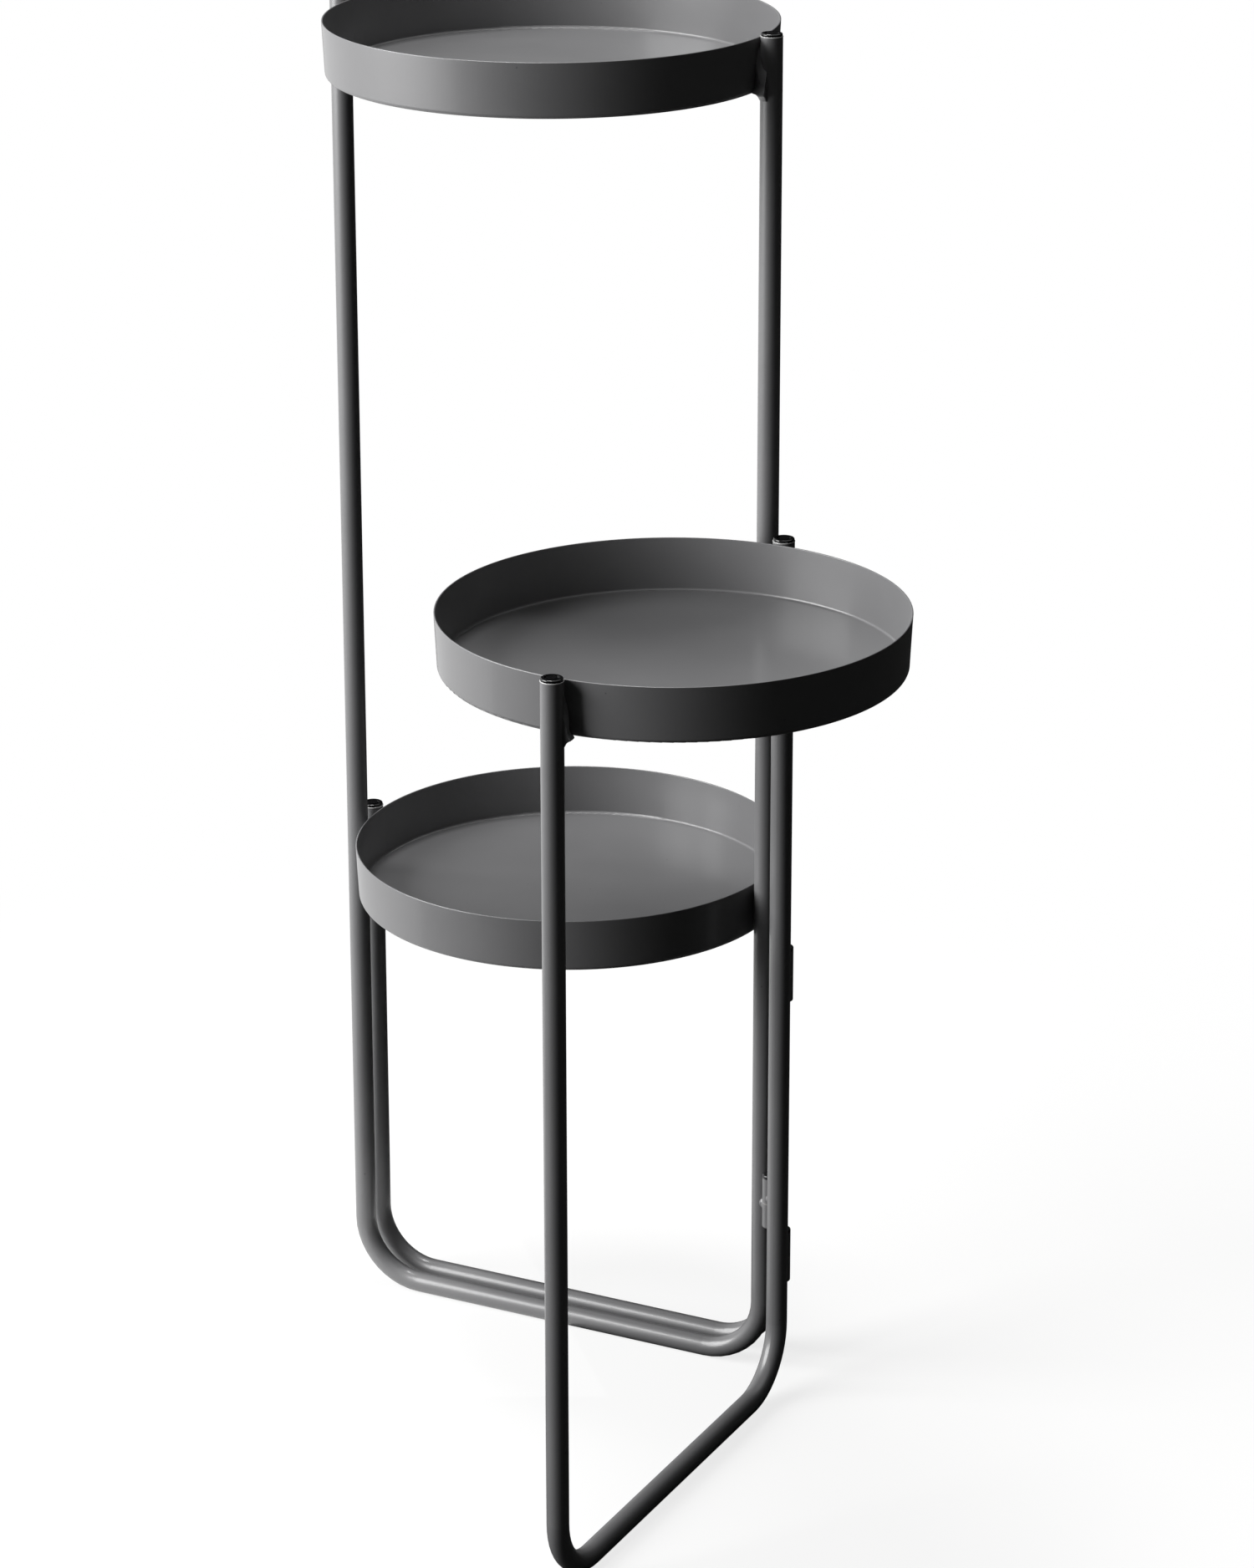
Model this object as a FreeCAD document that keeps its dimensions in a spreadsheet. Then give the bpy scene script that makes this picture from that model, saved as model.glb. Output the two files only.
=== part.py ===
import FreeCAD, Part
import math
import os

import Sketcher

# Tiered plant stand: three bent-tube frames, each standing on its own bottom run
# and carrying one round sheet-metal tray between its two legs.  The middle and
# the low frame hang on the tall frame's hinge-side leg by pairs of pin hinges,
# so the two can be folded flat against the tall frame or swung out to the side.
#
# Every tier is drawn in a frame of its own: the hinge-side leg stands at the
# local origin and the outer leg at +X, with Z = 0 on the floor.

os.makedirs("parts", exist_ok=True)
doc = FreeCAD.newDocument("PlantStand")
sheet = doc.addObject("Spreadsheet::Sheet", "Sizes")

# Driving dimensions, millimetres and degrees.
SIZES = [
    # bent tube frames
    ("tube_diameter", 16.0),
    ("tube_wall", 1.5),
    ("bend_radius", 48.0),
    ("tube_rise", 0.8),
    ("tall_rim", 1039.0),
    ("middle_rim", 678.0),
    ("low_rim", 398.0),
    # round trays, deep drawn from sheet
    ("tray_diameter", 330.0),
    ("tray_depth", 40.0),
    ("tray_sheet", 1.2),
    ("tray_draft", 2.0),
    ("tray_bend", 3.0),
    ("tray_rim_round", 0.5),
    ("tray_gap", 0.4),
    # weld between a leg and its tray
    ("weld_bead", 0.8),
    ("weld_reach", 1.2),
    ("weld_toe", 0.6),
    ("weld_foot", 4.5),
    ("weld_lap", 1.0),
    ("weld_rise", 5.5),
    ("weld_below_rim", 8.0),
    # push-in end plugs
    ("plug_step", 0.3),
    ("plug_head", 2.4),
    ("plug_head_round", 0.9),
    ("plug_groove_width", 1.3),
    ("plug_groove_depth", 0.8),
    ("plug_centre_radius", 4.0),
    ("plug_stem_length", 14.0),
    ("plug_stem_gap", 0.9),
    ("plug_rib_gap", 0.05),
    ("plug_rib_height", 1.2),
    ("plug_rib_pitch", 3.6),
    # hinges between the frames
    ("frame_pitch", 24.5),
    ("hinge_reach", 12.0),
    ("knuckle_diameter", 12.0),
    ("knuckle_height", 20.0),
    ("knuckle_round", 1.2),
    ("washer_thickness", 1.0),
    ("pin_diameter", 6.0),
    ("pin_clearance", 0.05),
    ("pin_head", 3.0),
    ("pin_head_round", 1.4),
    ("pin_tail", 0.8),
    ("pin_tail_flare", 0.9),
    ("arm_diameter", 8.0),
    ("arm_waist", 0.9),
    ("arm_to_washer", 4.5),
    ("middle_upper_hinge", 590.0),
    ("middle_lower_hinge", 127.5),
    ("low_upper_hinge", 304.5),
    ("low_lower_hinge", 71.5),
    # how far the middle frame is swung out from its folded place
    ("middle_swing", 88.0),
]

# Values worked out from the driving dimensions.
WORKED_OUT = [
    ("tube_radius", "tube_diameter / 2"),
    ("bore_radius", "tube_radius - tube_wall"),
    ("tray_radius", "tray_diameter / 2"),
    ("leg_reach", "tray_radius + tray_gap + tube_radius"),
    ("frame_span", "2 * leg_reach"),
    ("tall_top", "tall_rim + tube_rise"),
    ("middle_top", "middle_rim + tube_rise"),
    ("low_top", "low_rim + tube_rise"),
    ("weld_hollow", "weld_foot + weld_reach + tray_bend"),
    ("hinge_side", "frame_pitch / 2"),
    ("knuckle_radius", "knuckle_diameter / 2"),
    ("pin_radius", "pin_diameter / 2"),
    ("arm_length", "sqrt(hinge_reach ^ 2 + hinge_side ^ 2)"),
    ("arm_angle", "atan(hinge_side / hinge_reach) / 1 deg"),
    ("hinge_height", "2 * knuckle_height + washer_thickness"),
    # the middle frame's hinge-side leg, seen from the tall frame's
    (
        "middle_leg_x",
        "hinge_reach - hinge_reach * cos(middle_swing) + hinge_side * sin(middle_swing)",
    ),
    (
        "middle_leg_y",
        "-hinge_side - hinge_reach * sin(middle_swing) - hinge_side * cos(middle_swing)",
    ),
    # the box of the whole stand, whose bottom centre is the origin
    ("box_left", "min(-frame_span; middle_leg_x - frame_span * cos(middle_swing)) - tube_radius"),
    (
        "box_right",
        "max(tube_radius; middle_leg_x - leg_reach * cos(middle_swing) + tray_radius)",
    ),
    (
        "box_front",
        "min(middle_leg_y - frame_span * sin(middle_swing) - tube_radius;"
        " middle_leg_y - leg_reach * sin(middle_swing) - tray_radius; -tray_radius)",
    ),
    ("box_back", "frame_pitch + tray_radius"),
    ("tall_x", "-(box_left + box_right) / 2"),
    ("tall_y", "-(box_front + box_back) / 2"),
    ("tall_turn", "180"),
    ("low_x", "tall_x"),
    ("low_y", "tall_y + frame_pitch"),
    ("low_turn", "180"),
    ("middle_x", "tall_x + middle_leg_x"),
    ("middle_y", "tall_y + middle_leg_y"),
    ("middle_turn", "180 + middle_swing"),
]

for row, (alias, value) in enumerate(SIZES, start=1):
    sheet.set(f"A{row}", str(value))
    sheet.setAlias(f"A{row}", alias)
for row, (alias, formula) in enumerate(WORKED_OUT, start=1):
    sheet.set(f"C{row}", "=" + formula)
    sheet.setAlias(f"C{row}", alias)
doc.recompute()

ORIGIN_POINT = (-1, 1)
H_AXIS = -1
V_AXIS = -2
START = 1
END = 2

pieces = []


def size(expression):
    """The number that an expression of the sheet's cells gives."""
    value = sheet.evalExpression(expression)
    return float(getattr(value, "Value", value))


def bind(obj, path, expression):
    """Drive one property of an object from the sheet."""
    obj.setExpression(path, in_sheet(expression))


def in_sheet(expression):
    """Write the sheet's name before each alias of an expression."""
    names = sorted([alias for alias, _ in SIZES + WORKED_OUT], key=len, reverse=True)
    text = ""
    rest = expression
    while rest:
        found = next((name for name in names if rest.startswith(name)), None)
        if found:
            text += "Sizes." + found
            rest = rest[len(found):]
        else:
            text += rest[0]
            rest = rest[1:]
    return text


def place(obj, tier, along="0", across="0", height="0", turn="0"):
    """Stand an object in a tier's frame, at a local point, turned about Z."""
    angle = f"{tier}_turn"
    bind(obj, "Placement.Base.x", f"{tier}_x + ({along}) * cos({angle}) - ({across}) * sin({angle})")
    bind(obj, "Placement.Base.y", f"{tier}_y + ({along}) * sin({angle}) + ({across}) * cos({angle})")
    bind(obj, "Placement.Base.z", height)
    bind(obj, "Placement.Rotation.Angle", f"{angle} + ({turn})")


def new_body(name):
    """An empty body that will be written as one piece of the stand."""
    body = doc.addObject("PartDesign::Body", name)
    body.Label = name
    pieces.append(body)
    return body


def plane_of(body, role):
    """One of a body's own origin planes."""
    return next(item for item in body.Origin.OriginFeatures if item.Role == role)


def sketch_in(body, name, role="XZ_Plane"):
    """A sketch on one of the body's own origin planes."""
    sketch = body.newObject("Sketcher::SketchObject", name)
    sketch.AttachmentSupport = [(plane_of(body, role), "")]
    sketch.MapMode = "FlatFace"
    return sketch


def pin_down(sketch, edge, end, point, number):
    """Hold one end of an edge at a place given by two expressions."""
    for axis, other_axis, kind, expression in (
        ("x", V_AXIS, "DistanceX", point[0]),
        ("y", H_AXIS, "DistanceY", point[1]),
    ):
        if expression == "0":
            sketch.addConstraint(Sketcher.Constraint("PointOnObject", edge, end, other_axis))
            continue
        start_value = size(expression)
        index = sketch.addConstraint(
            Sketcher.Constraint(kind, *ORIGIN_POINT, edge, end, start_value)
        )
        sketch.renameConstraint(index, f"{axis}{number}")
        bind(sketch, f"Constraints.{axis}{number}", expression)


def arc_between(start, end, radius, bulge):
    """The shorter arc between two points, bulging left (1) or right (-1) of the way."""
    chord = end - start
    side = FreeCAD.Vector(-chord.y, chord.x, 0).normalize() * bulge
    rise = radius - math.sqrt(radius ** 2 - (chord.Length / 2) ** 2)
    middle = (start + end) / 2 + side * rise
    # A sketch's arcs run anticlockwise, so one that bulges left is drawn backwards.
    if bulge > 0:
        return Part.Arc(end, middle, start)
    return Part.Arc(start, middle, end)


def outline(sketch, points, arcs=None, closed=True):
    """Draw lines and arcs through points, every point and radius bound to the sheet."""
    arcs = arcs or {}
    places = [FreeCAD.Vector(size(x), size(y), 0) for x, y in points]
    count = len(points) if closed else len(points) - 1
    reversed_ends = {}
    for number in range(count):
        start = places[number]
        end = places[(number + 1) % len(points)]
        if number in arcs:
            radius, bulge = arcs[number]
            sketch.addGeometry(arc_between(start, end, size(radius), bulge), False)
            reversed_ends[number] = bulge > 0
        else:
            sketch.addGeometry(Part.LineSegment(start, end), False)
            reversed_ends[number] = False

    def tip(number):
        return START if reversed_ends[number] else END

    def tail(number):
        return END if reversed_ends[number] else START

    for number in range(count if closed else count - 1):
        after = (number + 1) % count
        sketch.addConstraint(
            Sketcher.Constraint("Coincident", number, tip(number), after, tail(after))
        )
    for number in range(count):
        pin_down(sketch, number, tail(number), points[number], number)
    if not closed:
        pin_down(sketch, count - 1, tip(count - 1), points[-1], count)
    for number, (radius, _) in arcs.items():
        index = sketch.addConstraint(Sketcher.Constraint("Radius", number, size(radius)))
        sketch.renameConstraint(index, f"arc{number}")
        bind(sketch, f"Constraints.arc{number}", radius)


def circles(sketch, *radii):
    """Concentric circles about the sketch's origin."""
    for number, radius in enumerate(radii):
        ring = Part.Circle(FreeCAD.Vector(0, 0, 0), FreeCAD.Vector(0, 0, 1), size(radius))
        sketch.addGeometry(ring, False)
        sketch.addConstraint(Sketcher.Constraint("Coincident", number, 3, *ORIGIN_POINT))
        index = sketch.addConstraint(Sketcher.Constraint("Radius", number, size(radius)))
        sketch.renameConstraint(index, f"ring{number}")
        bind(sketch, f"Constraints.ring{number}", radius)


def turn_profile(body, name, points, arcs=None):
    """Revolve a closed outline about the body's own Z axis."""
    profile = sketch_in(body, name + "_profile")
    outline(profile, points, arcs)
    turned = body.newObject("PartDesign::Revolution", name)
    turned.Profile = profile
    turned.ReferenceAxis = (profile, ["V_Axis"])
    turned.Angle = 360
    profile.Visibility = False
    doc.recompute()
    return turned


def round_edges(body, name, feature, radius, wanted):
    """Fillet the circular edges of a turned feature at (radius, height) places."""
    chosen = []
    for number, edge in enumerate(feature.Shape.Edges, start=1):
        curve = edge.Curve
        if not isinstance(curve, Part.Circle):
            continue
        for ring_radius, height in wanted:
            same_radius = abs(curve.Radius - size(ring_radius)) < 1e-4
            if same_radius and abs(curve.Center.z - size(height)) < 1e-4:
                chosen.append(f"Edge{number}")
    fillet = body.newObject("PartDesign::Fillet", name)
    fillet.Base = (feature, chosen)
    bind(fillet, "Radius", radius)
    doc.recompute()
    return fillet


# ---------------------------------------------------------------------------
# Frames: one tube, bent twice into a U, standing on its bottom run


def make_frame_tube(tier):
    """A hollow round tube swept down one leg, along the floor and up the other."""
    body = new_body(f"{tier}_frame_tube")
    top = f"{tier}_top"
    spine = sketch_in(body, f"{tier}_tube_path")
    outline(
        spine,
        [
            ("0", top),
            ("0", "tube_radius + bend_radius"),
            ("bend_radius", "tube_radius"),
            ("frame_span - bend_radius", "tube_radius"),
            ("frame_span", "tube_radius + bend_radius"),
            ("frame_span", top),
        ],
        arcs={1: ("bend_radius", -1), 3: ("bend_radius", -1)},
        closed=False,
    )
    section = sketch_in(body, f"{tier}_tube_section", "XY_Plane")
    bind(section, "AttachmentOffset.Base.z", top)
    circles(section, "tube_radius", "bore_radius")
    doc.recompute()
    pipe = body.newObject("PartDesign::AdditivePipe", f"{tier}_tube_sweep")
    pipe.Profile = section
    pipe.Spine = (spine, [])
    doc.recompute()
    place(body, tier)
    return body


# ---------------------------------------------------------------------------
# Trays: a flat floor and a slightly flared wall, pressed from one sheet


def make_tray(name, tier):
    """A shallow round tray with a bent corner and a rounded rim."""
    body = new_body(name)
    foot = "tray_radius - tray_draft"
    tray = turn_profile(
        body,
        name + "_pressing",
        [
            ("0", "0"),
            (foot, "0"),
            ("tray_radius", "tray_depth"),
            ("tray_radius - tray_sheet", "tray_depth"),
            (f"{foot} - tray_sheet", "tray_sheet"),
            ("0", "tray_sheet"),
        ],
    )
    outer = round_edges(body, name + "_outer_bend", tray, "tray_bend", [(foot, "0")])
    inner = round_edges(
        body,
        name + "_inner_bend",
        outer,
        "tray_bend - tray_sheet",
        [(f"{foot} - tray_sheet", "tray_sheet")],
    )
    round_edges(
        body,
        name + "_rim",
        inner,
        "tray_rim_round",
        [("tray_radius", "tray_depth"), ("tray_radius - tray_sheet", "tray_depth")],
    )
    place(body, tier, along="leg_reach", height=f"{tier}_rim - tray_depth")
    return body


# ---------------------------------------------------------------------------
# Welds: the bead in the wedge between leg and tray wall, with a flared foot


def tray_solid(tier, name, along):
    """The full outer form of a tray, as seen from one leg, to cut a weld with."""
    body = doc.addObject("PartDesign::Body", name)
    foot = "tray_radius - tray_draft"
    block = turn_profile(
        body,
        name + "_block",
        [
            ("0", "0"),
            (foot, "0"),
            ("tray_radius", "tray_depth"),
            ("0", "tray_depth"),
        ],
    )
    round_edges(body, name + "_corner", block, "tray_bend", [(foot, "0")])
    bind(body, "Placement.Base.x", along)
    bind(body, "Placement.Base.z", f"{tier}_rim - tray_depth")
    return body


def make_weld(name, tier, turn, along):
    """The weld that holds a leg to its tray, on the tray's side of the leg only."""
    underside = f"{tier}_rim - tray_depth"
    # The bead fills the wedge right down the flared wall, and its foot reaches
    # round the tray's bent corner.
    wall_foot = "tube_radius + tray_gap + tray_draft"
    bead = f"{wall_foot} + weld_bead"
    flare = f"{wall_foot} + tray_bend + weld_reach"
    metal = doc.addObject("PartDesign::Body", name + "_metal")
    turn_profile(
        metal,
        name + "_turned",
        [
            ("bore_radius", f"{underside} - weld_foot"),
            ("tube_radius + weld_toe", f"{underside} - weld_foot"),
            (flare, f"{underside} + weld_lap"),
            (bead, f"{underside} + weld_lap + weld_rise"),
            (bead, f"{tier}_rim - weld_below_rim"),
            ("bore_radius", f"{tier}_rim - weld_below_rim"),
        ],
        arcs={1: ("weld_hollow", 1), 2: ("weld_hollow", 1)},
    )
    leg = doc.addObject("Part::Cylinder", name + "_leg")
    bind(leg, "Radius", "tube_radius")
    bind(leg, "Height", f"{tier}_rim")
    far_side = doc.addObject("Part::Box", name + "_far_side")
    bind(far_side, "Length", "2 * tube_diameter")
    bind(far_side, "Width", "4 * tube_diameter")
    bind(far_side, "Height", f"{tier}_rim")
    bind(far_side, "Placement.Base.x", "-2 * tube_diameter")
    bind(far_side, "Placement.Base.y", "-2 * tube_diameter")
    tray = tray_solid(tier, name + "_tray", "leg_reach")
    tools = doc.addObject("Part::MultiFuse", name + "_tools")
    tools.Shapes = [leg, far_side, tray]
    weld = doc.addObject("Part::Cut", name)
    weld.Base = metal
    weld.Tool = tools
    weld.Label = name
    place(weld, tier, along=along, turn=turn)
    pieces.append(weld)
    return weld


# ---------------------------------------------------------------------------
# End plugs: a domed head on the tube's end and a ribbed stem in its bore


def make_plug(name, tier, along):
    """A push-in plug with a ring groove in its head."""
    body = new_body(name)
    head = "tube_radius - plug_step"
    stem = "bore_radius - plug_stem_gap"
    rib = "bore_radius - plug_rib_gap"
    groove = "plug_centre_radius + plug_groove_width"
    points = [("0", "-plug_stem_length"), (stem, "-plug_stem_length")]
    for level in (3, 2, 1):
        foot = f"-{level} * plug_rib_pitch"
        points += [
            (stem, foot),
            (rib, f"{foot} + plug_rib_height / 2"),
            (rib, f"{foot} + plug_rib_height"),
            (stem, f"{foot} + plug_rib_height"),
        ]
    points += [
        (stem, "0"),
        (head, "0"),
        (head, "plug_head"),
        (groove, "plug_head"),
        (groove, "plug_head - plug_groove_depth"),
        ("plug_centre_radius", "plug_head - plug_groove_depth"),
        ("plug_centre_radius", "plug_head"),
        ("0", "plug_head"),
    ]
    plug = turn_profile(body, name + "_moulding", points)
    round_edges(body, name + "_edge", plug, "plug_head_round", [(head, "plug_head")])
    place(body, tier, along=along, height=f"{tier}_top")
    return body


# ---------------------------------------------------------------------------
# Hinges: two knuckles on one pin, each held off its leg by a short arm


def make_knuckle(name, tier, across, bottom, rounded):
    """A short sleeve on the hinge's axis, with one rounded end."""
    body = new_body(name)
    bore = "pin_radius + pin_clearance"
    sleeve = turn_profile(
        body,
        name + "_sleeve",
        [
            (bore, "0"),
            ("knuckle_radius", "0"),
            ("knuckle_radius", "knuckle_height"),
            (bore, "knuckle_height"),
        ],
    )
    if rounded:
        round_edges(body, name + "_end", sleeve, "knuckle_round", [("knuckle_radius", "0")])
    place(body, tier, along="-hinge_reach", across=across, height=bottom)
    return body


def make_arm(name, tier, across_sign, height):
    """A short stub from the leg to the knuckle, waisted between its two weld fillets."""
    stub = doc.addObject("PartDesign::Body", name + "_stub")
    radius = "arm_diameter / 2"
    end = "arm_diameter / 2 + arm_waist"
    near = "tube_radius"
    far = "arm_length - knuckle_radius"
    turn_profile(
        stub,
        name + "_turned",
        [
            ("0", "tube_wall"),
            (end, "tube_wall"),
            (end, near),
            (radius, f"({near} + {far}) / 2"),
            (end, far),
            (end, "arm_length - pin_radius"),
            ("0", "arm_length - pin_radius"),
        ],
    )
    stub.Placement.Rotation = FreeCAD.Rotation(FreeCAD.Vector(0, 1, 0), 90)
    leg = doc.addObject("Part::Cylinder", name + "_leg")
    bind(leg, "Radius", "tube_radius")
    bind(leg, "Height", "4 * arm_diameter")
    bind(leg, "Placement.Base.z", "-2 * arm_diameter")
    sleeve = doc.addObject("Part::Cylinder", name + "_knuckle")
    bind(sleeve, "Radius", "knuckle_radius")
    bind(sleeve, "Height", "4 * arm_diameter")
    bind(sleeve, "Placement.Base.x", "arm_length")
    bind(sleeve, "Placement.Base.z", "-2 * arm_diameter")
    tools = doc.addObject("Part::MultiFuse", name + "_tools")
    tools.Shapes = [leg, sleeve]
    arm = doc.addObject("Part::Cut", name)
    arm.Base = stub
    arm.Tool = tools
    arm.Label = name
    place(arm, tier, height=height, turn=f"180 - ({across_sign}) * arm_angle")
    pieces.append(arm)
    return arm


def make_washer(name, across, bottom):
    """A thin flat ring between the two knuckles of a hinge."""
    body = new_body(name)
    ring = sketch_in(body, name + "_ring", "XY_Plane")
    circles(ring, "knuckle_radius", "pin_radius + pin_clearance")
    pad = body.newObject("PartDesign::Pad", name + "_disc")
    pad.Profile = ring
    bind(pad, "Length", "washer_thickness")
    doc.recompute()
    place(body, "tall", along="-hinge_reach", across=across, height=bottom)
    return body


def make_pin(name, across, bottom):
    """A headed pin through both knuckles, flared over below the lower one."""
    body = new_body(name)
    tail = "pin_radius + pin_tail_flare"
    pin = turn_profile(
        body,
        name + "_turning",
        [
            ("0", "-pin_tail"),
            ("pin_radius", "-pin_tail"),
            (tail, "0"),
            ("pin_radius", "0"),
            ("pin_radius", "hinge_height"),
            ("knuckle_radius", "hinge_height"),
            ("knuckle_radius", "hinge_height + pin_head"),
            ("0", "hinge_height + pin_head"),
        ],
    )
    round_edges(
        body,
        name + "_head",
        pin,
        "pin_head_round",
        [("knuckle_radius", "hinge_height + pin_head")],
    )
    place(body, "tall", along="-hinge_reach", across=across, height=bottom)
    return body


def make_hinge(name, tier, bottom):
    """One hinge of a swinging tier: lower knuckle on the tall frame, upper one on the tier."""
    # The middle frame folds in front of the tall one and the low frame behind it.
    side = 1 if tier == "middle" else -1
    tall_side = f"{side} * hinge_side"
    tier_side = f"{-side} * hinge_side"
    washer_bottom = f"{bottom} + knuckle_height"
    upper = f"{washer_bottom} + washer_thickness"
    make_knuckle(name + "_fixed_knuckle", "tall", tall_side, bottom, True)
    make_knuckle(name + "_swinging_knuckle", tier, tier_side, upper, False)
    make_arm(name + "_fixed_arm", "tall", side, f"{washer_bottom} - arm_to_washer")
    make_arm(name + "_swinging_arm", tier, -side, f"{upper} + arm_to_washer")
    make_washer(name + "_washer", tall_side, washer_bottom)
    make_pin(name + "_pin", tall_side, bottom)


# ---------------------------------------------------------------------------
# The stand

TRAYS = {"tall": "top_tray", "middle": "middle_tray", "low": "bottom_tray"}

for tier_name, tray_name in TRAYS.items():
    make_frame_tube(tier_name)
    make_tray(tray_name, tier_name)
    make_weld(f"{tray_name}_hinge_side_weld", tier_name, "0", "0")
    make_weld(f"{tray_name}_outer_weld", tier_name, "180", "frame_span")
    make_plug(f"{tier_name}_hinge_side_plug", tier_name, "0")
    make_plug(f"{tier_name}_outer_plug", tier_name, "frame_span")

for swinging_tier in ("middle", "low"):
    for level_name in ("upper", "lower"):
        hinge_name = f"{swinging_tier}_{level_name}_hinge"
        make_hinge(hinge_name, swinging_tier, hinge_name)

doc.recompute()

for item in doc.Objects:
    if "Invalid" in item.State or "Error" in item.State:
        raise RuntimeError(f"{item.Label} failed: {item.State}")
for piece in pieces:
    shape = piece.Shape
    if shape.isNull() or not shape.isValid() or len(shape.Solids) != 1:
        raise RuntimeError(f"{piece.Label} is not one valid solid")

for piece in pieces:
    piece.Shape.exportStep(f"parts/{piece.Label}.step")
    print(piece.Label, round(piece.Shape.Volume, 1))
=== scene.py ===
"""Tiered plant stand: finishes, small trim, light and camera for three tube frames."""
import logging
import math
from dataclasses import dataclass, field
from enum import Enum
from typing import Any

import bmesh
import bpy
from mathutils import Euler, Matrix, Vector


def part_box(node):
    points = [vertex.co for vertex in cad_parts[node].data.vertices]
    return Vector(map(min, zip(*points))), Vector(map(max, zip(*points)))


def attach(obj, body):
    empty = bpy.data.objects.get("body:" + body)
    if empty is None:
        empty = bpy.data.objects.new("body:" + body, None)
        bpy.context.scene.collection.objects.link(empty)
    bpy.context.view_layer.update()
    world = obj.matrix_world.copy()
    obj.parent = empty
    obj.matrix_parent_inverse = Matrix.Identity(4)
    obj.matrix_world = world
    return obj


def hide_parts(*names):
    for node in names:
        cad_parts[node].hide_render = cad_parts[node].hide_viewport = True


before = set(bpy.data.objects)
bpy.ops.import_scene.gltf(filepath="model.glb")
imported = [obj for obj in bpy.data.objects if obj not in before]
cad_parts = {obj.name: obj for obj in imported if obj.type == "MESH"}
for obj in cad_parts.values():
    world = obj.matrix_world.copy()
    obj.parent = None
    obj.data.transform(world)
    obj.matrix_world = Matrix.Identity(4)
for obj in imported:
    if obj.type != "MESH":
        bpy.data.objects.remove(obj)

LOG = logging.getLogger("plant_stand")
MM = 0.001
IMAGE_HEIGHT = 1876
MERGE_DISTANCE = 0.001 * MM
SHARP_ANGLE = math.radians(35.0)
RING_STEPS = 72
RING_SECTION_STEPS = 10


class Tier(Enum):
    """The three frames of the stand, by the height of their tray."""

    TALL = "tall"
    MIDDLE = "middle"
    LOW = "low"

    @property
    def body(self) -> str:
        """The name of the moving body that this frame belongs to."""
        return f"{self.value}_frame"

    @property
    def tray(self) -> str:
        """The name of the tray that this frame carries."""
        level = {"tall": "top", "middle": "middle", "low": "bottom"}[self.value]
        return f"{level}_tray"


class LegSide(Enum):
    """The two legs of a frame."""

    HINGE = "hinge_side"
    OUTER = "outer"


class Level(Enum):
    """The two heights at which a swinging frame is hinged."""

    UPPER = "upper"
    LOWER = "lower"


class Slot(Enum):
    """The material slots of the record."""

    COAT = "grey_powder_coat"
    PLUG = "black_plug"
    WASHER = "hinge_washer"
    PIN = "hinge_pin"


def linear(hex_colour: str) -> tuple[float, float, float, float]:
    """Turn an sRGB hex colour into the linear values that a shader takes.

    Args:
        hex_colour: A colour such as "#5a5a5b".

    Returns:
        Red, green, blue and an alpha of 1, all linear.
    """
    digits = hex_colour.lstrip("#")
    channels = [int(digits[place:place + 2], 16) / 255 for place in (0, 2, 4)]
    curved = [c / 12.92 if c <= 0.04045 else ((c + 0.055) / 1.055) ** 2.4 for c in channels]
    return curved[0], curved[1], curved[2], 1.0


def per_metre(spacing_mm: float) -> float:
    """The scale that gives a pattern its real spacing, for coordinates in metres."""
    return 1 / (spacing_mm * MM)


def add_node(
    tree: bpy.types.NodeTree,
    kind: str,
    settings: dict[str, Any] | None = None,
    inputs: dict[str | int, Any] | None = None,
) -> bpy.types.Node:
    """Add a shader node with its settings and links.

    Args:
        tree: The node tree to add to.
        kind: Blender's name for the kind of node.
        settings: Properties of the node, by name.
        inputs: Values or output sockets for its inputs, by name or number.

    Returns:
        The new node.
    """
    node = tree.nodes.new(kind)
    for name, value in (settings or {}).items():
        setattr(node, name, value)
    for name, value in (inputs or {}).items():
        if isinstance(value, bpy.types.NodeSocket):
            tree.links.new(value, node.inputs[name])
        else:
            node.inputs[name].default_value = value
    return node


def empty_material(name: str) -> bpy.types.Material:
    """A material with an empty node tree."""
    material = bpy.data.materials.new(name)
    material.use_nodes = True
    material.node_tree.nodes.clear()
    return material


# ---------------------------------------------------------------------------
# Finishes


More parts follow.
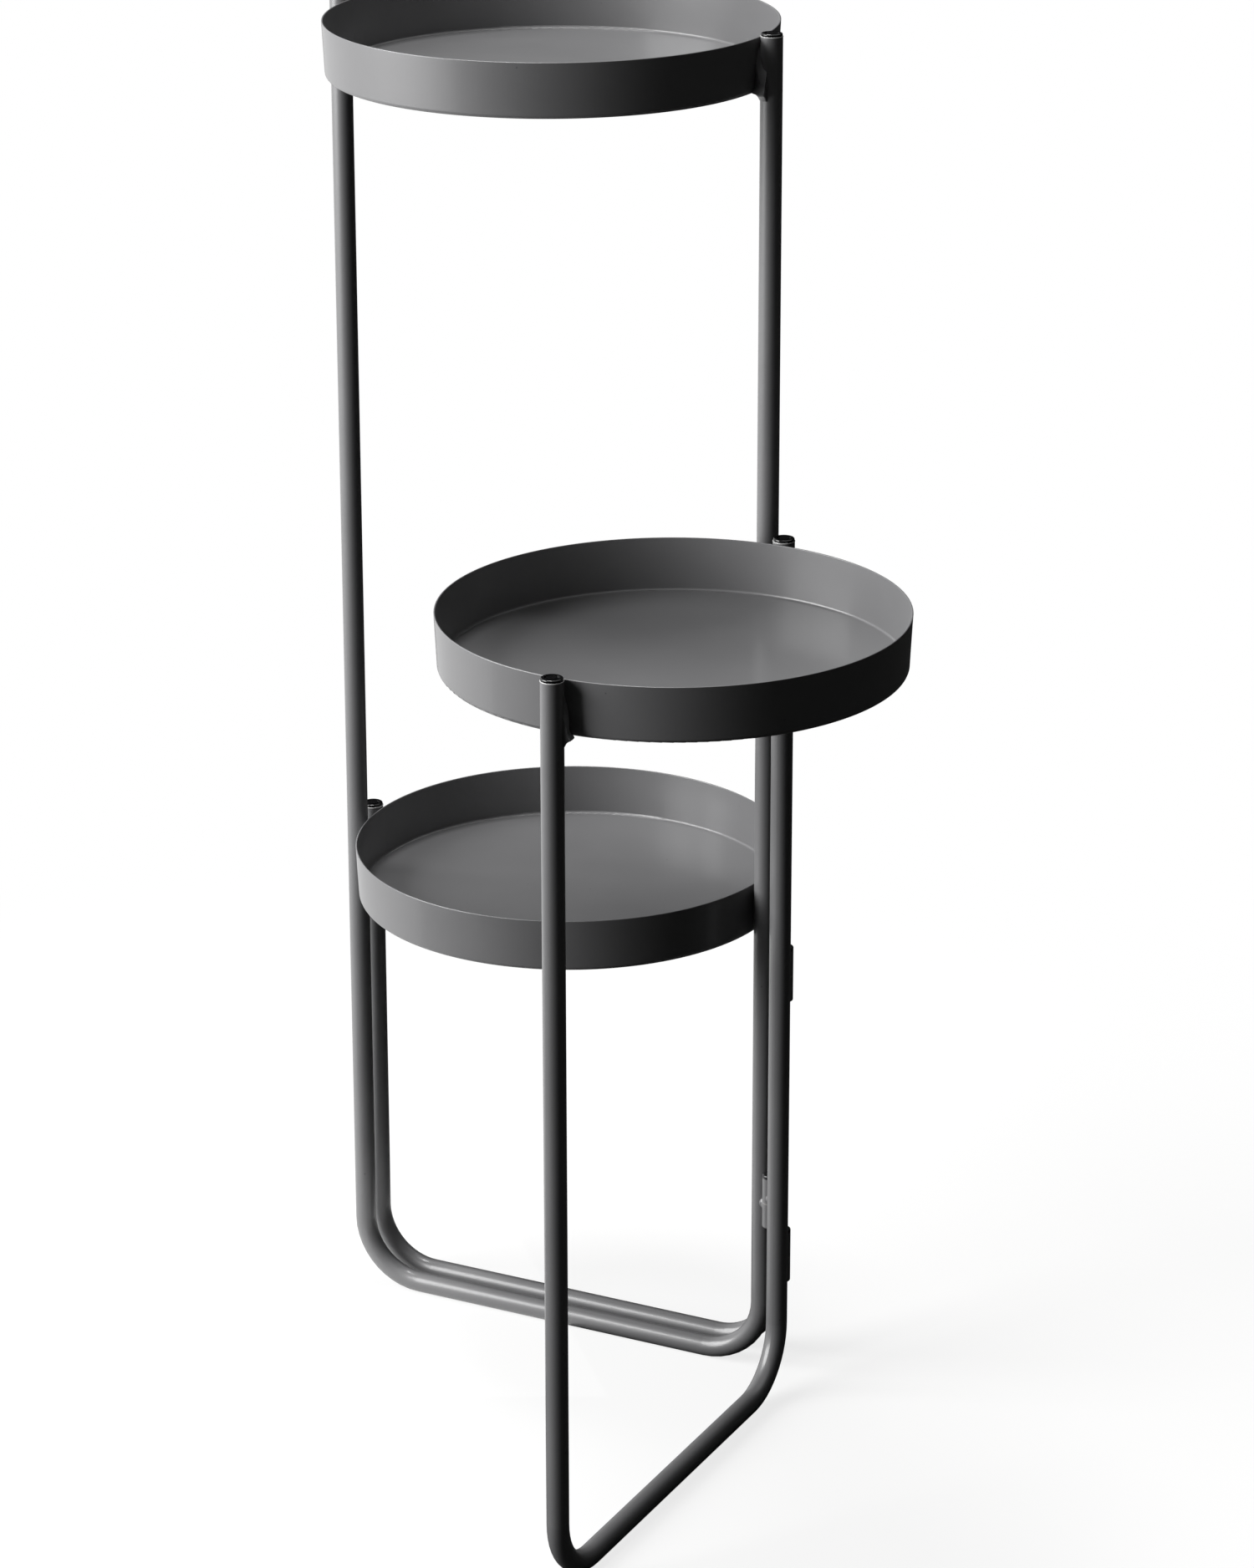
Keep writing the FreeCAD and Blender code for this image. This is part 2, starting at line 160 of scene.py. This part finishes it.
@dataclass(frozen=True)
class PowderCoat:
    """Dark grey satin polyester powder coat, sprayed dry on steel and baked.

    The melt levels only partly, so the surface keeps a shallow orange peel: a soft,
    broad highlight with a slightly uneven edge, a little lighter and darker in
    patches, and here and there a nib of dust baked in. The pigment settles below a
    thin skin of clear resin, which draws a fine bright line along edges and bends.
    """

    name: str = "satin_powder_coat"
    shade_light: str = "#656566"
    shade_dark: str = "#5d5d5e"
    nib_shade: str = "#3a3a3b"
    ior: float = 1.5
    roughness_low: float = 0.42
    roughness_high: float = 0.5
    skin_weight: float = 0.42
    skin_roughness: float = 0.17
    # Orange peel is 1 to 2 mm from crest to crest; 2.4 mm is drawn so that it shows.
    peel_spacing_mm: float = 2.4
    peel_height_mm: float = 0.02
    # Grain of the cured powder is under 0.1 mm; it is drawn at 0.7 mm to show at all.
    grain_spacing_mm: float = 0.7
    grain_height_mm: float = 0.004
    patch_spacing_mm: float = 60.0
    nib_spacing_mm: float = 24.0
    nib_radius_mm: float = 0.9

    def build(self) -> bpy.types.Material:
        """Make the material.

        Returns:
            The powder coat, patterned in the piece's own coordinates.
        """
        material = empty_material(self.name)
        tree = material.node_tree
        place = add_node(tree, "ShaderNodeTexCoord").outputs["Object"]
        patches = add_node(
            tree, "ShaderNodeTexNoise",
            inputs={
                "Vector": place, "Scale": per_metre(self.patch_spacing_mm), "Detail": 3.0,
            },
        )
        peel = add_node(
            tree, "ShaderNodeTexNoise",
            inputs={
                "Vector": place, "Scale": per_metre(self.peel_spacing_mm), "Detail": 1.0,
            },
        )
        grain = add_node(
            tree, "ShaderNodeTexNoise",
            inputs={
                "Vector": place, "Scale": per_metre(self.grain_spacing_mm), "Detail": 2.0,
            },
        )
        nibs = add_node(
            tree, "ShaderNodeTexVoronoi",
            inputs={"Vector": place, "Scale": per_metre(self.nib_spacing_mm)},
        )
        nib_edge = self.nib_radius_mm / self.nib_spacing_mm
        nib_mask = add_node(
            tree, "ShaderNodeMapRange",
            inputs={
                "Value": nibs.outputs["Distance"],
                "From Min": 0.0, "From Max": nib_edge, "To Min": 1.0, "To Max": 0.0,
            },
        )
        shade = add_node(
            tree, "ShaderNodeMix", {"data_type": "RGBA"},
            {
                "Factor": patches.outputs["Fac"],
                "A": linear(self.shade_dark), "B": linear(self.shade_light),
            },
        )
        colour = add_node(
            tree, "ShaderNodeMix", {"data_type": "RGBA"},
            {
                "Factor": nib_mask.outputs["Result"],
                "A": shade.outputs["Result"], "B": linear(self.nib_shade),
            },
        )
        roughness = add_node(
            tree, "ShaderNodeMapRange",
            inputs={
                "Value": patches.outputs["Fac"],
                "To Min": self.roughness_low, "To Max": self.roughness_high,
            },
        )
        grain_bump = add_node(
            tree, "ShaderNodeBump",
            inputs={"Height": grain.outputs["Fac"], "Distance": self.grain_height_mm * MM},
        )
        peel_bump = add_node(
            tree, "ShaderNodeBump",
            inputs={
                "Height": peel.outputs["Fac"], "Distance": self.peel_height_mm * MM,
                "Normal": grain_bump.outputs["Normal"],
            },
        )
        shader = add_node(
            tree, "ShaderNodeBsdfPrincipled",
            inputs={
                "Base Color": colour.outputs["Result"],
                "Roughness": roughness.outputs["Result"],
                "IOR": self.ior,
                "Normal": peel_bump.outputs["Normal"],
                "Coat Weight": self.skin_weight,
                "Coat Roughness": self.skin_roughness,
                "Coat IOR": self.ior,
                "Coat Normal": peel_bump.outputs["Normal"],
            },
        )
        add_node(
            tree, "ShaderNodeOutputMaterial", inputs={"Surface": shader.outputs["BSDF"]}
        )
        return material


@dataclass(frozen=True)
class CoatedWeld(PowderCoat):
    """The same powder coat over a MIG weld.

    The coat levels over the bead's ripples, so they show as soft waves along the
    seam and not as sharp scales.
    """

    name: str = "powder_coat_on_weld"
    peel_spacing_mm: float = 3.2
    peel_height_mm: float = 0.16


@dataclass(frozen=True)
class PaintedHighlightCoat(PowderCoat):
    """The same powder coat, painted much paler and glossier on a tube's cut end.

    The pale shade is a painted highlight: it draws the bright line of light round the rim.
    """

    name: str = "powder_coat_painted_edge_highlight"
    # Painted highlight: these shades are far paler than the coat's own.
    shade_light: str = "#b4b4b3"
    shade_dark: str = "#a2a2a1"
    roughness_low: float = 0.26
    roughness_high: float = 0.34


@dataclass(frozen=True)
class MouldedPlastic:
    """A small injection-moulded plastic piece.

    A polished mould gives an even gloss, slightly dented where the plastic shrank.
    """

    name: str
    shade: str
    roughness_low: float
    roughness_high: float
    ior: float
    sink_spacing_mm: float = 5.0
    sink_height_mm: float = 0.05

    def build(self) -> bpy.types.Material:
        """Make the material.

        Returns:
            The plastic, patterned in the piece's own coordinates.
        """
        material = empty_material(self.name)
        tree = material.node_tree
        place = add_node(tree, "ShaderNodeTexCoord").outputs["Object"]
        sinks = add_node(
            tree, "ShaderNodeTexNoise",
            inputs={"Vector": place, "Scale": per_metre(self.sink_spacing_mm), "Detail": 1.0},
        )
        roughness = add_node(
            tree, "ShaderNodeMapRange",
            inputs={
                "Value": sinks.outputs["Fac"],
                "To Min": self.roughness_low, "To Max": self.roughness_high,
            },
        )
        bump = add_node(
            tree, "ShaderNodeBump",
            inputs={"Height": sinks.outputs["Fac"], "Distance": self.sink_height_mm * MM},
        )
        shader = add_node(
            tree, "ShaderNodeBsdfPrincipled",
            inputs={
                "Base Color": linear(self.shade), "Roughness": roughness.outputs["Result"],
                "IOR": self.ior, "Normal": bump.outputs["Normal"],
            },
        )
        add_node(
            tree, "ShaderNodeOutputMaterial", inputs={"Surface": shader.outputs["BSDF"]}
        )
        return material


# Low-density polyethylene from a polished mould: deep black with a wet-looking gloss.
BLACK_POLYETHYLENE = MouldedPlastic("gloss_black_polyethylene", "#080809", 0.12, 0.19, 1.51)
# Turned or moulded nylon washers are a milky grey and dull.
PALE_NYLON = MouldedPlastic("moulded_nylon", "#7e7d7a", 0.45, 0.55, 1.53, 3.0, 0.02)


@dataclass(frozen=True)
class BlackenedSteel:
    """Steel hinge pin with a baked black lacquer.

    The thin lacquer hides the metal, so it is a dielectric with fine turning marks.
    """

    name: str = "black_lacquered_steel"
    shade: str = "#1d1d1e"
    ior: float = 1.5
    roughness: float = 0.34
    # Turning marks are about 0.1 mm apart; 0.6 mm is drawn so that they show.
    mark_spacing_mm: float = 0.6
    mark_height_mm: float = 0.01

    def build(self) -> bpy.types.Material:
        """Make the material.

        Returns:
            The lacquered steel, with its turning marks round the upright axis.
        """
        material = empty_material(self.name)
        tree = material.node_tree
        place = add_node(tree, "ShaderNodeTexCoord").outputs["Object"]
        marks = add_node(
            tree, "ShaderNodeTexWave", {"bands_direction": "Z"},
            {
                "Vector": place, "Distortion": 0.4,
                "Scale": per_metre(self.mark_spacing_mm) / math.tau,
            },
        )
        bump = add_node(
            tree, "ShaderNodeBump",
            inputs={"Height": marks.outputs["Fac"], "Distance": self.mark_height_mm * MM},
        )
        shader = add_node(
            tree, "ShaderNodeBsdfPrincipled",
            inputs={
                "Base Color": linear(self.shade), "Roughness": self.roughness,
                "IOR": self.ior, "Normal": bump.outputs["Normal"],
            },
        )
        add_node(
            tree, "ShaderNodeOutputMaterial", inputs={"Surface": shader.outputs["BSDF"]}
        )
        return material


class Palette:
    """The stand's finishes, each made once."""

    def __init__(self) -> None:
        """Make every finish."""
        self.coat = PowderCoat().build()
        self.weld = CoatedWeld().build()
        # A painted highlight for the rims of the tubes' cut ends.
        self.edge = PaintedHighlightCoat().build()
        self.plug = BLACK_POLYETHYLENE.build()
        self.washer = PALE_NYLON.build()
        self.pin = BlackenedSteel().build()


def dress(node: str, material: bpy.types.Material) -> None:
    """Give a carried-over piece its finish.

    Args:
        node: The piece's name in the frame.
        material: The finish for all of its faces.
    """
    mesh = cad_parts[node].data
    mesh.materials.clear()
    mesh.materials.append(material)


def middle_of(node: str) -> Vector:
    """The centre of a piece's box, in metres."""
    low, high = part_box(node)
    return (low + high) / 2


def ring_mesh(name: str, centre: Vector, radius: float, thickness: float) -> bpy.types.Object:
    """Make a thin round ring that lies flat.

    Args:
        name: The new piece's name.
        centre: The ring's centre, in metres.
        radius: From the centre to the middle of the ring's section, in metres.
        thickness: The diameter of its round section, in metres.

    Returns:
        The ring, linked to the scene.
    """
    shell = bmesh.new()
    loops = []
    for step in range(RING_STEPS):
        turn = math.tau * step / RING_STEPS
        outward = Vector((math.cos(turn), math.sin(turn), 0))
        loop = []
        for part in range(RING_SECTION_STEPS):
            lean = math.tau * part / RING_SECTION_STEPS
            reach = radius + thickness / 2 * math.cos(lean)
            lift = Vector((0, 0, thickness / 2 * math.sin(lean)))
            loop.append(shell.verts.new(centre + outward * reach + lift))
        loops.append(loop)
    for step in range(RING_STEPS):
        here, there = loops[step], loops[(step + 1) % RING_STEPS]
        for part in range(RING_SECTION_STEPS):
            after = (part + 1) % RING_SECTION_STEPS
            shell.faces.new((here[part], there[part], there[after], here[after]))
    mesh = bpy.data.meshes.new(name)
    shell.to_mesh(mesh)
    shell.free()
    mesh.polygons.foreach_set("use_smooth", [True] * len(mesh.polygons))
    ring = bpy.data.objects.new(name, mesh)
    bpy.context.scene.collection.objects.link(ring)
    return ring


def trimmed(node: str, name: str, cuts: list[tuple[Vector, Vector]]) -> bpy.types.Object:
    """Copy a piece of the frame and trim it with flat cuts.

    Args:
        node: The piece's name in the frame.
        name: The copy's name.
        cuts: A point of each cutting plane, in metres, and the direction, square to
            the plane, in which the kept part lies.

    Returns:
        The trimmed copy, closed where it was cut and linked to the scene.
    """
    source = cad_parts[node]
    shell = bmesh.new()
    shell.from_mesh(source.data)
    shell.transform(source.matrix_world)
    bmesh.ops.remove_doubles(shell, verts=shell.verts[:], dist=MERGE_DISTANCE)
    for through, kept in cuts:
        cut = bmesh.ops.bisect_plane(
            shell, geom=shell.verts[:] + shell.edges[:] + shell.faces[:],
            plane_co=through, plane_no=kept, clear_inner=True,
        )
        rim = [item for item in cut["geom_cut"] if isinstance(item, bmesh.types.BMEdge)]
        bmesh.ops.holes_fill(shell, edges=rim, sides=0)
    bmesh.ops.recalc_face_normals(shell, faces=shell.faces[:])
    mesh = bpy.data.meshes.new(name)
    shell.to_mesh(mesh)
    shell.free()
    mesh.polygons.foreach_set("use_smooth", [True] * len(mesh.polygons))
    mesh.set_sharp_from_angle(angle=SHARP_ANGLE)
    copy = bpy.data.objects.new(name, mesh)
    bpy.context.scene.collection.objects.link(copy)
    return copy


# ---------------------------------------------------------------------------
# Sub-assemblies


@dataclass
class TubeFrame:
    """One bent tube, its two plugs, and the coat's bead on each cut end."""

    tier: Tier
    tube_radius: float = 8.0 * MM
    bead_inset: float = 0.18 * MM
    bead_thickness: float = 0.75 * MM
    beads: list[bpy.types.Object] = field(default_factory=list)

    def build(self) -> None:
        """Add a bead of coat round each open end of the tube."""
        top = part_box(f"{self.tier.value}_frame_tube")[1].z
        for side in LegSide:
            centre = middle_of(f"{self.tier.value}_{side.value}_plug")
            centre.z = top
            bead = ring_mesh(
                f"{self.tier.value}_{side.value}_coat_bead", centre,
                self.tube_radius - self.bead_inset, self.bead_thickness,
            )
            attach(bead, self.tier.body)
            self.beads.append(bead)

    def dress(self, palette: Palette) -> None:
        """Coat the tube, give the plugs black plastic, paint highlights on the beads."""
        dress(f"{self.tier.value}_frame_tube", palette.coat)
        for side in LegSide:
            dress(f"{self.tier.value}_{side.value}_plug", palette.plug)
        # Each bead gets the pale coat, a painted highlight round the rim.
        for bead in self.beads:
            bead.data.materials.append(palette.edge)


@dataclass
class Tray:
    """One pressed tray and the two seams that hold it to its legs.

    The welder lays each seam from the frame's front, so its foot shows on that side
    of the leg alone.
    """

    tier: Tier
    # The seam draws back upward into the wedge between leg and wall.
    seam_tip: float = 3.0 * MM
    seam_depth: float = 8.0 * MM
    seam_taper: float = 24.0 * MM
    seams: list[bpy.types.Object] = field(default_factory=list)

    def build(self) -> None:
        """Cut each weld down to the side of the leg that it was laid from."""
        low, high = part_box(self.tier.tray)
        LOG.info("%s: %.0f mm across, rim at %.0f mm", self.tier.tray,
                 (high.x - low.x) / MM, high.z / MM)
        leg = {side: middle_of(f"{self.tier.value}_{side.value}_plug") for side in LegSide}
        along = (leg[LegSide.OUTER] - leg[LegSide.HINGE]).normalized()
        front = Vector((-along.y, along.x, 0))
        inward = -(front * self.seam_taper + Vector((0, 0, self.seam_depth))).normalized()
        for side in LegSide:
            weld = f"{self.tier.tray}_{side.value}_weld"
            tip = leg[side] + front * self.seam_tip
            tip.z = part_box(weld)[1].z
            cuts = [(leg[side], front), (tip, inward)]
            seam = trimmed(weld, f"{self.tier.tray}_{side.value}_seam", cuts)
            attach(seam, self.tier.body)
            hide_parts(weld)
            self.seams.append(seam)

    def dress(self, palette: Palette) -> None:
        """Coat the tray and its seams."""
        dress(self.tier.tray, palette.coat)
        for seam in self.seams:
            seam.data.materials.append(palette.weld)


@dataclass
class Hinge:
    """One hinge: two knuckles on arms, with a washer between and a pin through."""

    tier: Tier
    level: Level

    @property
    def name(self) -> str:
        """The words that the names of the hinge's pieces start with."""
        return f"{self.tier.value}_{self.level.value}_hinge"

    def build(self) -> None:
        """Report the hinge's place; its pieces are carried over as they are."""
        centre = middle_of(f"{self.name}_washer")
        LOG.info("%s: washer at %.0f mm", self.name, centre.z / MM)

    def dress(self, palette: Palette) -> None:
        """Coat the knuckles and arms, and finish the washer and the pin."""
        for piece in ("fixed_knuckle", "swinging_knuckle"):
            dress(f"{self.name}_{piece}", palette.coat)
        for piece in ("fixed_arm", "swinging_arm"):
            dress(f"{self.name}_{piece}", palette.weld)
        dress(f"{self.name}_washer", palette.washer)
        dress(f"{self.name}_pin", palette.pin)


# ---------------------------------------------------------------------------
# Studio


@dataclass
class PhotoCamera:
    """A long lens at the photograph's viewing angle, looking down on the stand."""

    place: tuple[float, float, float] = (1.3771, -2.7967, 1.6588)
    heading: tuple[float, float] = (-0.43700, 0.89946)
    look_down: float = math.radians(18.062)
    roll: float = math.radians(-0.1)
    focal_pixels: float = 5455.7
    # Row of the picture that the lens axis meets.
    axis_row: float = 713.0
    sensor: float = 36.0

    def build(self) -> bpy.types.Object:
        """Make the camera and hand it to the scene.

        Returns:
            The camera.
        """
        data = bpy.data.cameras.new("photo_camera")
        data.sensor_width = self.sensor
        data.lens = self.focal_pixels * self.sensor / IMAGE_HEIGHT
        data.shift_y = (self.axis_row - IMAGE_HEIGHT / 2) / IMAGE_HEIGHT
        camera = bpy.data.objects.new("photo_camera", data)
        bpy.context.scene.collection.objects.link(camera)
        ahead = Vector((
            self.heading[0] * math.cos(self.look_down),
            self.heading[1] * math.cos(self.look_down),
            -math.sin(self.look_down),
        ))
        turn = ahead.to_track_quat("-Z", "Y") @ Euler((0, 0, self.roll)).to_quaternion()
        camera.matrix_world = Matrix.Translation(self.place) @ turn.to_matrix().to_4x4()
        bpy.context.scene.camera = camera
        return camera

    def beside(self, right: float, back: float, height: float) -> Vector:
        """A place in the studio, seen from the camera.

        Args:
            right: Metres to the right of the stand, as the camera sees it.
            back: Metres beyond the stand, away from the camera.
            height: Metres above the floor.

        Returns:
            The place, in the stand's frame.
        """
        ahead = Vector((self.heading[0], self.heading[1], 0)).normalized()
        across = Vector((ahead.y, -ahead.x, 0))
        return across * right + ahead * back + Vector((0, 0, height))


@dataclass(frozen=True)
class Softbox:
    """A rectangular soft light that faces the stand.

    Its place is given in metres as the camera sees it: to the right of the stand,
    back beyond it, and up from the floor.
    """

    name: str
    right: float
    back: float
    up: float
    width: float
    height: float
    watts: float


KEY_SOFTBOX = Softbox("key_softbox", -2.25, -0.5, 1.45, 1.8, 1.9, 140.0)
TOP_SOFTBOX = Softbox("top_softbox", -0.6, 0.7, 4.2, 1.2, 1.2, 128.0)


@dataclass
class Studio:
    """A pale floor in a white room, soft lights left and above, and a dark curtain."""

    camera: PhotoCamera
    floor_half: float = 14.0
    floor_shade: str = "#f2f2f1"
    # Share of the floor's own shading up to shadow_near from the stand's centre; it
    # fades out by shadow_reach, and the rest is plain white.
    shadow_share: float = 0.2
    shadow_near: float = 0.4
    shadow_reach: float = 1.2
    ambient: float = 0.18
    # The curtain hangs round the stand's right, front and back; the left stays open.
    curtain_folds: int = 24
    curtain_radius: float = 2.9
    curtain_height: float = 3.2
    curtain_from: float = math.radians(-140.0)
    curtain_to: float = math.radians(105.0)
    curtain_shade: str = "#262626"
    # The mat lies inside the curtain and reaches round to the key light.
    mat_from: float = math.radians(-180.0)
    mat_lift: float = 1.0 * MM
    aim: Vector = field(default_factory=lambda: Vector((0, 0, 0.5)))

    def build(self) -> None:
        """Make the floor, the world, the lights and the curtain."""
        self.add_floor()
        self.set_world()
        self.add_light(KEY_SOFTBOX)
        self.add_light(TOP_SOFTBOX)
        self.add_curtain()

    def add_light(self, softbox: Softbox) -> None:
        """Add a soft light and turn it to the stand.

        Args:
            softbox: The light's name, place, size and power.
        """
        data = bpy.data.lights.new(softbox.name, "AREA")
        data.shape = "RECTANGLE"
        data.size = softbox.width
        data.size_y = softbox.height
        data.energy = softbox.watts
        light = bpy.data.objects.new(softbox.name, data)
        bpy.context.scene.collection.objects.link(light)
        place = self.camera.beside(softbox.right, softbox.back, softbox.up)
        light.rotation_euler = (self.aim - place).to_track_quat("-Z", "Y").to_euler()
        light.location = place

    def add_floor(self) -> None:
        """Lay a pale floor that stays white away from the stand and keeps its shadow."""
        material = empty_material("matt_white_floor")
        tree = material.node_tree
        own = add_node(
            tree, "ShaderNodeBsdfDiffuse", inputs={"Color": linear(self.floor_shade)}
        )
        white = add_node(tree, "ShaderNodeEmission", inputs={"Strength": 1.0})
        place = add_node(tree, "ShaderNodeTexCoord").outputs["Object"]
        distance = add_node(
            tree, "ShaderNodeVectorMath", {"operation": "LENGTH"}, {0: place}
        )
        share = add_node(
            tree, "ShaderNodeMapRange", {"interpolation_type": "SMOOTHSTEP"},
            {
                "Value": distance.outputs["Value"],
                "From Min": self.shadow_near, "From Max": self.shadow_reach,
                "To Min": self.shadow_share, "To Max": 0.0,
            },
        )
        seen = add_node(
            tree, "ShaderNodeMixShader",
            inputs={
                0: share.outputs["Result"],
                1: white.outputs["Emission"],
                2: own.outputs["BSDF"],
            },
        )
        floor = add_node(
            tree, "ShaderNodeMixShader",
            inputs={
                0: self.seen_ray(tree),
                1: own.outputs["BSDF"],
                2: seen.outputs["Shader"],
            },
        )
        add_node(
            tree, "ShaderNodeOutputMaterial", inputs={"Surface": floor.outputs["Shader"]}
        )
        half = self.floor_half
        corners = [(-half, -half), (half, -half), (half, half), (-half, half)]
        self.add_sheets("floor", [[Vector((x, y, 0)) for x, y in corners]], material)

    def seen_ray(self, tree: bpy.types.NodeTree) -> bpy.types.NodeSocket:
        """Make a socket that is 1 for rays of sight, reflection and transmission.

        Args:
            tree: The node tree to add to.

        Returns:
            The socket.
        """
        path = add_node(tree, "ShaderNodeLightPath")
        mirrored = add_node(
            tree, "ShaderNodeMath", {"operation": "MAXIMUM"},
            {0: path.outputs["Is Camera Ray"], 1: path.outputs["Is Glossy Ray"]},
        )
        return add_node(
            tree, "ShaderNodeMath", {"operation": "MAXIMUM"},
            {0: mirrored.outputs["Value"], 1: path.outputs["Is Transmission Ray"]},
        ).outputs["Value"]

    def set_world(self) -> None:
        """Make the room white to look at and dim as a source of light."""
        world = bpy.data.worlds.new("white_room")
        bpy.context.scene.world = world
        world.use_nodes = True
        tree = world.node_tree
        tree.nodes.clear()
        strength = add_node(
            tree, "ShaderNodeMapRange",
            inputs={"Value": self.seen_ray(tree), "To Min": self.ambient, "To Max": 1.0},
        )
        room = add_node(
            tree, "ShaderNodeBackground",
            inputs={"Color": (1, 1, 1, 1), "Strength": strength.outputs["Result"]},
        )
        add_node(
            tree, "ShaderNodeOutputWorld", inputs={"Surface": room.outputs["Background"]}
        )

    def add_curtain(self) -> None:
        """Hang a black curtain round the stand to deepen its shaded sides.

        The camera doesn't see it, and neither does it see the mat at its foot.
        """
        material = empty_material("black_felt_curtain")
        tree = material.node_tree
        felt = add_node(
            tree, "ShaderNodeBsdfDiffuse", inputs={"Color": linear(self.curtain_shade)}
        )
        add_node(
            tree, "ShaderNodeOutputMaterial", inputs={"Surface": felt.outputs["BSDF"]}
        )
        sweep = self.curtain_to - self.curtain_from
        turns = [
            self.curtain_from + sweep * fold / self.curtain_folds
            for fold in range(self.curtain_folds + 1)
        ]

        def at(turn: float, height: float) -> Vector:
            """A point of the curtain, by its turn from the camera's right and height."""
            right = self.curtain_radius * math.cos(turn)
            back = self.curtain_radius * math.sin(turn)
            return self.camera.beside(right, back, height)

        strips = [
            [at(a, 0), at(b, 0), at(b, self.curtain_height), at(a, self.curtain_height)]
            for a, b in zip(turns, turns[1:])
        ]
        curtain = self.add_sheets("curtain", strips, material)
        curtain.visible_camera = False
        # A mat of the same felt keeps the floor's bounce off the shaded sides; it
        # leaves the floor's own light and shadows alone.
        middle = self.camera.beside(0, 0, self.mat_lift)
        turns.insert(0, self.mat_from)
        wedges = [
            [middle, at(a, self.mat_lift), at(b, self.mat_lift)]
            for a, b in zip(turns, turns[1:])
        ]
        mat = self.add_sheets("mat", wedges, material)
        mat.visible_camera = False
        mat.visible_shadow = False

    def add_sheets(
        self, name: str, sheets: list[list[Vector]], material: bpy.types.Material
    ) -> bpy.types.Object:
        """Add flat sheets to the studio as one piece.

        Args:
            name: The piece's name.
            sheets: The corners of each sheet, in metres.
            material: Their finish.

        Returns:
            The piece.
        """
        shell = bmesh.new()
        for corners in sheets:
            shell.faces.new([shell.verts.new(corner) for corner in corners])
        mesh = bpy.data.meshes.new(name)
        shell.to_mesh(mesh)
        shell.free()
        mesh.materials.append(material)
        piece = bpy.data.objects.new(name, mesh)
        bpy.context.scene.collection.objects.link(piece)
        return piece


def main() -> None:
    """Build and dress the stand, then set up the studio."""
    logging.basicConfig(level=logging.INFO, format="%(message)s")
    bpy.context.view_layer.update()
    bpy.context.scene.view_settings.view_transform = "Standard"
    camera = PhotoCamera()
    camera.build()
    palette = Palette()
    parts: list[TubeFrame | Tray | Hinge] = []
    parts += [TubeFrame(tier) for tier in Tier]
    parts += [Tray(tier) for tier in Tier]
    parts += [Hinge(tier, level) for tier in (Tier.MIDDLE, Tier.LOW) for level in Level]
    for part in parts:
        part.build()
        part.dress(palette)
        LOG.info("built and dressed %s", type(part).__name__)
    Studio(camera).build()


if __name__ == "__main__":
    main()
